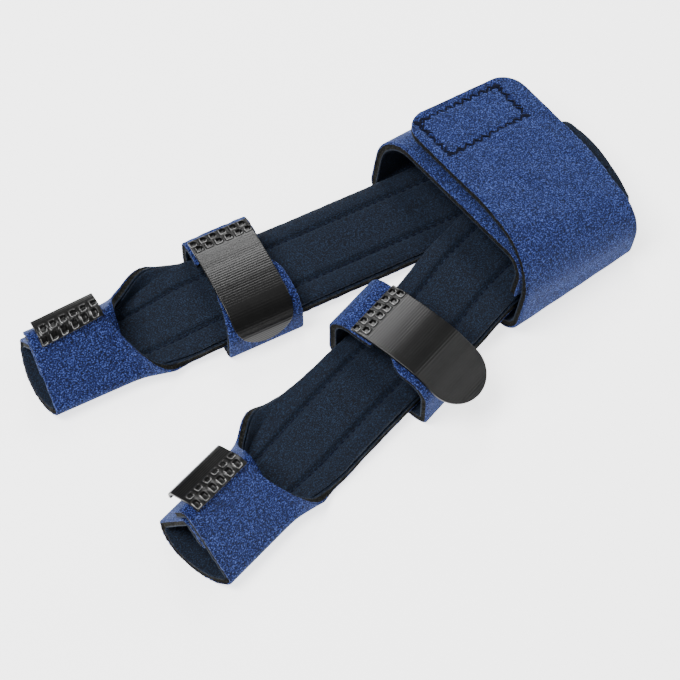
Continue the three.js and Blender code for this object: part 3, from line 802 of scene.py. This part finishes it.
SLEEVE_TAB_START = 2.6
TAPE_EDGE = [(0.0, "outer"), (0.12, "outer"), (0.5, "outer"), (0.88, "outer")]

STRAP_TABS = {"right": {"length": 41.0, "turn": 78.0}, "left": {"length": 42.0, "turn": 22.0}}
SLEEVE_TABS = {
    # skew, and curl at the tip, are in degrees. The tape is welded from weld before the near
    # wing's end, leaves the cloth at leave before it, and goes on for flap and tip.
    "right": {"skew": 4.5, "weld": 12.2, "leave": 7.2, "flap": 1.0, "tip": 2.4, "curl": 10.0},
    "left": {"skew": 0.0, "weld": 10.6, "leave": 7.3, "flap": 6.5, "tip": 3.5, "curl": 85.0},
}

hook_tape, tree, shader = new_material("hook_tape", roughness=0.29, specular=0.3)
_, smudge = mottle(tree, scale=240, detail=3, stops=[
    (0.35, (0.0016, 0.0016, 0.0017, 1)), (0.7, (0.0032, 0.0032, 0.0032, 1)),
])
set_inputs(tree, shader, {"Base Color": smudge})

# The melted rims are the same black plastic as the tape, only glossier. Their grey colour, far
# lighter than the tape's black, is a painted highlight that makes them read as bright lines, and it
# is mottled at random.
melted_rim, tree, shader = new_material("melted_rim", roughness=0.14, specular=1.0)
_, painted_glint_grey = mottle(tree, scale=700, stops=[
    (0.35, (0.02, 0.02, 0.02, 1)), (0.6, (0.16, 0.16, 0.16, 1)),
])
set_inputs(tree, shader, {"Base Color": painted_glint_grey})

rim_tubes, given = new_tree("rim_tubes", [
    ("Radius", "NodeSocketFloat", RIM_RADIUS * MM), ("Rim", "NodeSocketMaterial", melted_rim),
])
profile = add_node(rim_tubes, "GeometryNodeCurvePrimitiveCircle", {
    "Resolution": 7, "Radius": given.outputs["Radius"]})
tube = add_node(rim_tubes, "GeometryNodeCurveToMesh", {
    "Fill Caps": True, "Curve": given.outputs["Geometry"],
    "Profile Curve": profile.outputs["Curve"]})
end_tree(rim_tubes, tube.outputs["Mesh"], given.outputs["Rim"])

# A rim is a J round two sides and a corner of its pit, along and across from the pit's middle
RIM_CORNER = [(0.6 + 0.38 * math.sin(turn), -0.6 - 0.38 * math.cos(turn))
              for turn in math.pi / 2 * np.linspace(0, 1, 4)]
RIM_HOOK = np.array([
    (-0.75, -0.95), (0.0, -1.0), (0.6, -0.98), *RIM_CORNER,
    (0.98, 0.0), (0.96, 0.55), (0.8, 0.85), (0.45, 0.97),
])


def pit_places(width, seed):
    """The middles of a welded end's pits, along and across the tape."""
    chance = np.random.default_rng(seed)
    pitch = (width - 2 * PIT_FIRST - PIT_ROWS[1][1]) / (PIT_COUNT - 1)
    return [(row_along + chance.normal(0, PIT_STRAY),
             PIT_FIRST + row_shift + k * pitch + chance.normal(0, PIT_STRAY))
            for row_along, row_shift in PIT_ROWS for k in range(PIT_COUNT)]


def tape_relief(along, across, width, seed):
    """Ribs all along the tape, and square pits with raised rims in its welded end."""
    welded = 1 - smooth(along, WELD_LENGTH - WELD_FADE, WELD_LENGTH + WELD_FADE)
    ribs = RIB_HEIGHT * (0.5 * np.cos(2 * math.pi * along / RIB_PITCH) - 0.5)
    ribs = ribs * (RIB_EVENNESS + uneven(along, across * RIB_DRAW, seed + 2, size=6, amount=0.5))
    relief = (1 - welded) * ribs
    if along[0] > WELD_LENGTH + WELD_FADE:
        return relief
    for pit_along, pit_across in pit_places(width, seed):
        reach = np.abs(along - pit_along) ** PIT_SQUARENESS
        reach = (reach + np.abs(across - pit_across) ** PIT_SQUARENESS) ** (1 / PIT_SQUARENESS)
        pit = 1 - smooth(reach, PIT_HALF - PIT_EDGE, PIT_HALF)
        rim = np.exp(-(((reach - PIT_HALF - RIM_SPREAD[0]) / RIM_SPREAD[1]) ** 2))
        relief = relief + welded * (RIM_HEIGHT * rim - PIT_DEPTH * pit)
    return relief


def tape_swell(depth):
    return TAPE_BULGE * math.sin(math.pi * depth / TAPE)


def weld_tab(name, place, rows, columns, seed, side):
    """A tab of hook tape with the melted rims of its pits, from the function that places it. side
    is 1 or -1, and turns the rims' open sides to one end of the tape or the other."""
    width = columns.max()

    def face(depth):
        grid = []
        for mark in rows:
            along = np.full(columns.shape, mark)
            relief = tape_relief(along, columns, width, seed)
            grid.append(place(along, columns, GAP + (TAPE + relief) * (1 - depth / TAPE)))
        return np.array(grid)

    tab = sheet_mesh(f"{name}_tape", face(0.0), face(TAPE), TAPE, TAPE_EDGE, tape_swell,
                     ragged=0.0, seed=seed, layers=(hook_tape,) * 3)
    hooks = [place(pit_along + side * RIM_HOOK[:, 0], pit_across + RIM_HOOK[:, 1],
                   GAP + TAPE + RIM_PROUD) for pit_along, pit_across in pit_places(width, seed)]
    rims = grow(f"{name}_rims", hooks, rim_tubes, {}, twist_mode="MINIMUM")
    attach(rims, "root")
    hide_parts(name)
    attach(tab, "root")


for finger in FINGERS:
    sizes = STRAP_TABS[finger["name"]]
    strap = strap_path(finger)
    top, shoulder = strap["links"][:2]
    bend = math.radians(sizes["turn"])
    arc = shoulder[0] * bend / abs(shoulder[1])
    flat = top[0] + STRAP_PART + STRAP_TAB_WELD
    start_t, start_z, start_heading = strap["start"]
    path = {"start": (start_t - STRAP_PART - STRAP_TAB_WELD, start_z, start_heading + TAB_ARCH / 2),
            "links": [(flat, -TAB_ARCH), (arc, TAB_ARCH / 2 - bend),
                      (max(0.5, sizes["length"] - flat - arc), 0.0)]}
    whole = path_length(path)
    round_end = STRAP_TAB_WIDTH / 2

    def on_strap_tab(along, across, height):
        past = np.maximum(0.0, along - (whole - round_end))
        half = np.sqrt(np.maximum(0.0, round_end**2 - past**2))
        t, z, _ = follow(path, along, height)
        return strap_point(finger, (across / round_end - 1) * half, t, z)

    last = whole - 1.0  # from here the rows crowd towards the rounded end
    rows = np.concatenate([
        np.arange(0, WELD_LENGTH, TAB_STEP), np.arange(WELD_LENGTH, last, RIB_PITCH / 4),
        last + np.sin(np.linspace(0, 1.5, 8)),
    ])
    columns = np.linspace(0, STRAP_TAB_WIDTH, TAB_COLUMNS)
    weld_tab(f"{finger['name']}_strap_tab", on_strap_tab, rows, columns, finger["seed"], side=1)

for finger in FINGERS:
    sizes = SLEEVE_TABS[finger["name"]]
    wing = wing_path(finger, True, 0)
    whole = path_length(wing)
    links, left = [], whole - sizes["leave"]
    for length, turn in wing["links"]:
        share = min(1.0, left / length)
        links.append((length * share, turn * share))
        left -= length * share
        if share < 1:
            break
    links += [(sizes["flap"], 0.0), (sizes["tip"], math.radians(sizes["curl"]))]
    path = {"start": wing["start"], "links": links}
    skew = math.tan(math.radians(sizes["skew"]))
    tab_length = sizes["weld"] - sizes["leave"] + sizes["flap"] + sizes["tip"]

    def on_sleeve_tab(along, across, height):
        distance = whole - sizes["weld"] + along + across * skew
        t, z, _ = follow(path, distance, -height)
        return finger_point(finger, MOUTH_BULGE + SLEEVE_TAB_START + across, t, z)

    rows = np.concatenate([
        np.arange(0, WELD_LENGTH, TAB_STEP),
        np.arange(WELD_LENGTH, tab_length, RIB_PITCH / 4), [tab_length],
    ])
    columns = np.linspace(SLEEVE_TAB_WIDTH, 0, TAB_COLUMNS)
    seed = finger["seed"] + 20
    weld_tab(f"{finger['name']}_sleeve_tab", on_sleeve_tab, rows, columns, seed, side=-1)


# The palm band. One long strip of the laminate wraps both tongues: from its inner end across the
# top, round the left fold, below the tongues, round the right fold and back over the top, where
# its free end with rounded corners carries the hook patch, sewn on in a zigzag rectangle.
BAND_WIDTH = 46.5
BAND_LEFT = -34.0
BAND_RIGHT = 38.5
BAND_SLANT = 0.04
BAND_FRONT = -43.0
BAND_FRONT_HEIGHT = 36.0
BAND_SET_BACK = 6.0
BAND_LAP_SET_BACK = 3.0
BAND_END_RADIUS = 8.0
BAND_END_STEP = 3.5
BAND_INNER_END = 0.55  # this and the rounds below are shares of the band's height
BAND_ROUNDS = {"left_top": 0.42, "left_bottom": 0.08, "right_bottom": 0.2, "right_top": 0.44}
BAND_LAP_RUN = (0.72, 0.86)  # shares of its length between which the free end leans back
BAND_LIES = (62.0, 90.0, 150.0, 175.0)  # along the band, where its bottom turns level and rises
BAND_SECTIONS = 200  # across its width, as its section changes from the wrist to the mouth
BAND_ROWS = 300
BAND_END_ROWS = 14
BAND_COLUMNS = 85
LAYER_GAP = TAPE + 2 * GAP
BAND_BACK_HEIGHT = STACK + 2 * TONGUE_STACK + WALL + LAYER_GAP + WALL
BOX_STITCH = (2.9, 18.8)  # from the free end to the stitched rectangle's two long sides
BOX_STITCH_HALF = 17.0
BOX_STITCH_SHIFT = 2.6  # towards the mouth
BOX_GROOVE_DEPTH = 0.45
BOX_GROOVE_WIDTH = 0.9
BOX_SEAM_POINTS = 40
CORNER_STITCHING = 5.0
CORNER_STEP = 0.7
THREAD_SUNK = 0.3


def band_path(share):
    """The middle of the band's wall at a place across its width, 0 at the wrist, 1 at the mouth."""
    height = BAND_BACK_HEIGHT + (BAND_FRONT_HEIGHT - BAND_BACK_HEIGHT) * share
    half = WALL / 2
    outer_top = height - half
    inner_top = outer_top - WALL - LAYER_GAP
    left, right = BAND_LEFT + half, BAND_RIGHT - half
    in_right = right - WALL - LAYER_GAP
    right_round = BAND_ROUNDS["right_top"] * height
    end = left + BAND_END_STEP
    slant = BAND_SLANT * share
    return rounded_path([
        (in_right, inner_top * BAND_INNER_END, 0),
        (in_right, inner_top, right_round - WALL - LAYER_GAP),
        (left, inner_top - slant * (in_right - left), BAND_ROUNDS["left_top"] * height),
        (left, half, BAND_ROUNDS["left_bottom"] * height),
        (right, half, BAND_ROUNDS["right_bottom"] * height),
        (right, outer_top, right_round),
        (end, outer_top - slant * (in_right - end), 0),
    ])


band_whole = path_length(band_path(1.0))
band_rows = np.concatenate([
    np.linspace(0, band_whole - BAND_END_RADIUS, BAND_ROWS),
    band_whole - BAND_END_RADIUS * (1 - np.sin(np.linspace(0, math.pi / 2, BAND_END_ROWS)[1:])),
])
band_shares = np.linspace(-1, 1, BAND_COLUMNS)
band_paths = [band_path(share) for share in np.linspace(0, 1, BAND_SECTIONS + 1)]


def band_points(along, across, offset):
    """Places on the band, at shares of its length and width and offset inwards from its middle."""
    along, across, offset = np.broadcast_arrays(along, across, offset)
    t, z = np.zeros(along.shape), np.zeros(along.shape)
    nearest = np.clip(np.round(across * BAND_SECTIONS).astype(int), 0, BAND_SECTIONS)
    for k in np.unique(nearest):
        here = nearest == k
        path = band_paths[k]
        t[here], z[here], _ = follow(path, along[here] * path_length(path), offset[here])
    lean = BAND_SET_BACK * z / BAND_FRONT_HEIGHT
    lap = BAND_LAP_SET_BACK * smooth(along, *BAND_LAP_RUN)
    x = BAND_FRONT - BAND_WIDTH + across * BAND_WIDTH - lean - lap
    return np.stack([x + SPLINT_SHIFT[0], t + SPLINT_SHIFT[1], z], axis=-1)


def band_groove(mark, across_mm):
    """How far the zigzag stitching pulls the outer face in."""
    across_mm = across_mm - BOX_STITCH_SHIFT
    from_end = band_whole - mark
    deep = np.zeros(across_mm.shape)
    in_width = 1 - smooth(np.abs(across_mm), BOX_STITCH_HALF, BOX_STITCH_HALF + 1)
    for line in BOX_STITCH:
        deep = np.maximum(deep, np.exp(-(((from_end - line) / BOX_GROOVE_WIDTH) ** 2)) * in_width)
    between = smooth(from_end, BOX_STITCH[0] - 1, BOX_STITCH[0])
    between = between * (1 - smooth(from_end, BOX_STITCH[1], BOX_STITCH[1] + 1))
    sides = np.exp(-(((np.abs(across_mm) - BOX_STITCH_HALF) / BOX_GROOVE_WIDTH) ** 2)) * between
    return BOX_GROOVE_DEPTH * np.maximum(deep, sides)


past_end = np.maximum(0, band_rows - (band_whole - BAND_END_RADIUS))
end_round = BAND_END_RADIUS - np.sqrt(np.maximum(0, BAND_END_RADIUS**2 - past_end**2))
band_mm = band_shares * (BAND_WIDTH / 2 - end_round[:, None])
band_marks = np.broadcast_to(band_rows[:, None], band_mm.shape)
lying = smooth(band_marks, *BAND_LIES[:2]) * (1 - smooth(band_marks, *BAND_LIES[2:]))
soft = uneven(band_mm, band_marks, seed=31, size=18, amount=0.25) * (1 - lying)
outer_offset = band_groove(band_marks, band_mm) - soft - WALL / 2
band_across = 0.5 + band_mm / BAND_WIDTH
band = sheet_mesh(
    "palm_band_cloth",
    band_points(band_marks / band_whole, band_across, outer_offset),
    band_points(band_marks / band_whole, band_across, WALL / 2),
    WALL, LAMINATE_EDGE, edge_swell, ragged=0.07, seed=12, layers=LAMINATE)
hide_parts("palm_band")
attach(band, "root")


def box_seam(start, end):
    """A stitched line on the free end, between places (from the end, across) in millimetres."""
    share = np.linspace(0, 1, BOX_SEAM_POINTS)
    from_end = start[0] + (end[0] - start[0]) * share
    across_mm = start[1] + (end[1] - start[1]) * share + BOX_STITCH_SHIFT
    marks = (band_whole - from_end) / band_whole
    return band_points(marks, 0.5 + across_mm / BAND_WIDTH, THREAD_SUNK - WALL / 2)


near_end, far_end = BOX_STITCH
box_corners = [(near_end, -BOX_STITCH_HALF), (near_end, BOX_STITCH_HALF),
               (far_end, BOX_STITCH_HALF), (far_end, -BOX_STITCH_HALF)]
box_seams = [box_seam(a, b) for a, b in zip(box_corners, box_corners[1:] + box_corners[:1])]
for from_end, across_mm in box_corners:  # each corner is sewn over again
    inwards = CORNER_STITCHING if from_end == near_end else -CORNER_STITCHING
    sideways = -CORNER_STITCHING if across_mm > 0 else CORNER_STITCHING
    beside_end, beside_mm = from_end + CORNER_STEP, across_mm - CORNER_STEP
    box_seams.append(box_seam((beside_end, across_mm), (beside_end, across_mm + sideways)))
    box_seams.append(box_seam((from_end, beside_mm), (from_end + inwards, beside_mm)))
zigzag = grow("palm_band_stitches", box_seams, stitching,
              {"Pitch": 1.7 * MM, "Length": 3.0 * MM, "Thickness": 0.75 * MM, "Zigzag": 0.8},
              twist_mode="Z_UP")
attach(zigzag, "root")


# The hook patch below the band's free end: the same moulded tape, face down on the loop cloth of
# the inner end, so that only its edges show between the two layers.
PATCH_LENGTH = 34.0
PATCH_WIDTH = 16.0
PATCH_STEP = 6.0
PATCH_ROWS = 90
PATCH_COLUMNS = 25

patch_rows = np.linspace(0, PATCH_WIDTH, PATCH_ROWS)
patch_across = np.linspace(-PATCH_LENGTH / 2, PATCH_LENGTH / 2, PATCH_COLUMNS)
patch_marks = (band_whole - PATCH_STEP - PATCH_WIDTH + patch_rows)[:, None] / band_whole
patch_shares = 0.5 + patch_across[None, :] / BAND_WIDTH
patch_ribs = RIB_HEIGHT * np.cos(2 * math.pi * patch_rows / RIB_PITCH)[:, None]
patch = sheet_mesh(
    "palm_hook_patch_tape",
    band_points(patch_marks, patch_shares, WALL / 2 + GAP),
    band_points(patch_marks, patch_shares, WALL / 2 + GAP + TAPE - RIB_HEIGHT + patch_ribs),
    TAPE, TAPE_EDGE, tape_swell, ragged=0.0, seed=5, layers=(hook_tape,) * 3)
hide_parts("palm_hook_patch")
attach(patch, "root")
